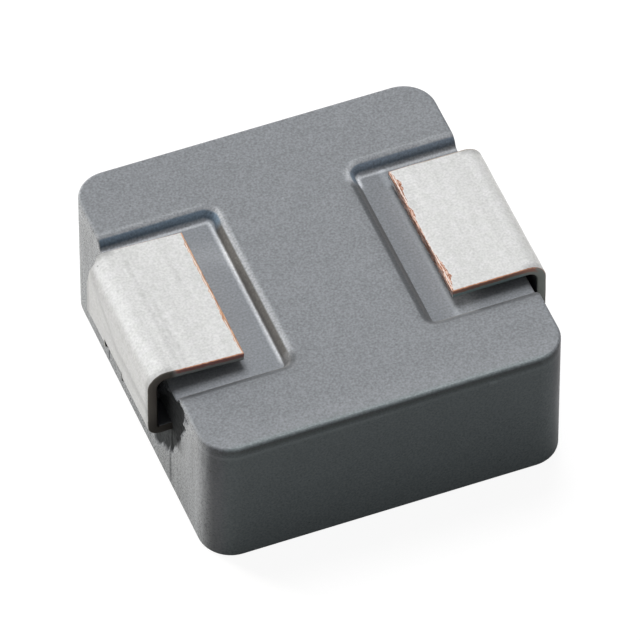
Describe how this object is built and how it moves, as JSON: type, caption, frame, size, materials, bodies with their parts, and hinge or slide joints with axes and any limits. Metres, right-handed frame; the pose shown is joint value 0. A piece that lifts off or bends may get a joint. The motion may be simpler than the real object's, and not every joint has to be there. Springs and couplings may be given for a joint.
{
  "type": "surface mount power inductor",
  "caption": "Square moulded power inductor with rounded corners and a folded solder terminal in a pocket at each end, lying terminal face up.",
  "frame": {"origin": "centre of the flat face that the part rests on; in use that face is the top of the mounted inductor", "axes": "+X from the left terminal to the right one, +Y along the terminals' width, +Z out of the face that is soldered to the board"},
  "size_m": [0.007, 0.0064, 0.0028],
  "materials": {
    "pressed_powder": "satin",
    "enamelled_copper": "gloss",
    "tinned_copper": "satin"
  },
  "bodies": {
    "root": {"core_body": "pressed_powder", "winding": "enamelled_copper", "terminal_left": "tinned_copper", "terminal_right": "tinned_copper"}
  },
  "joints": []
}
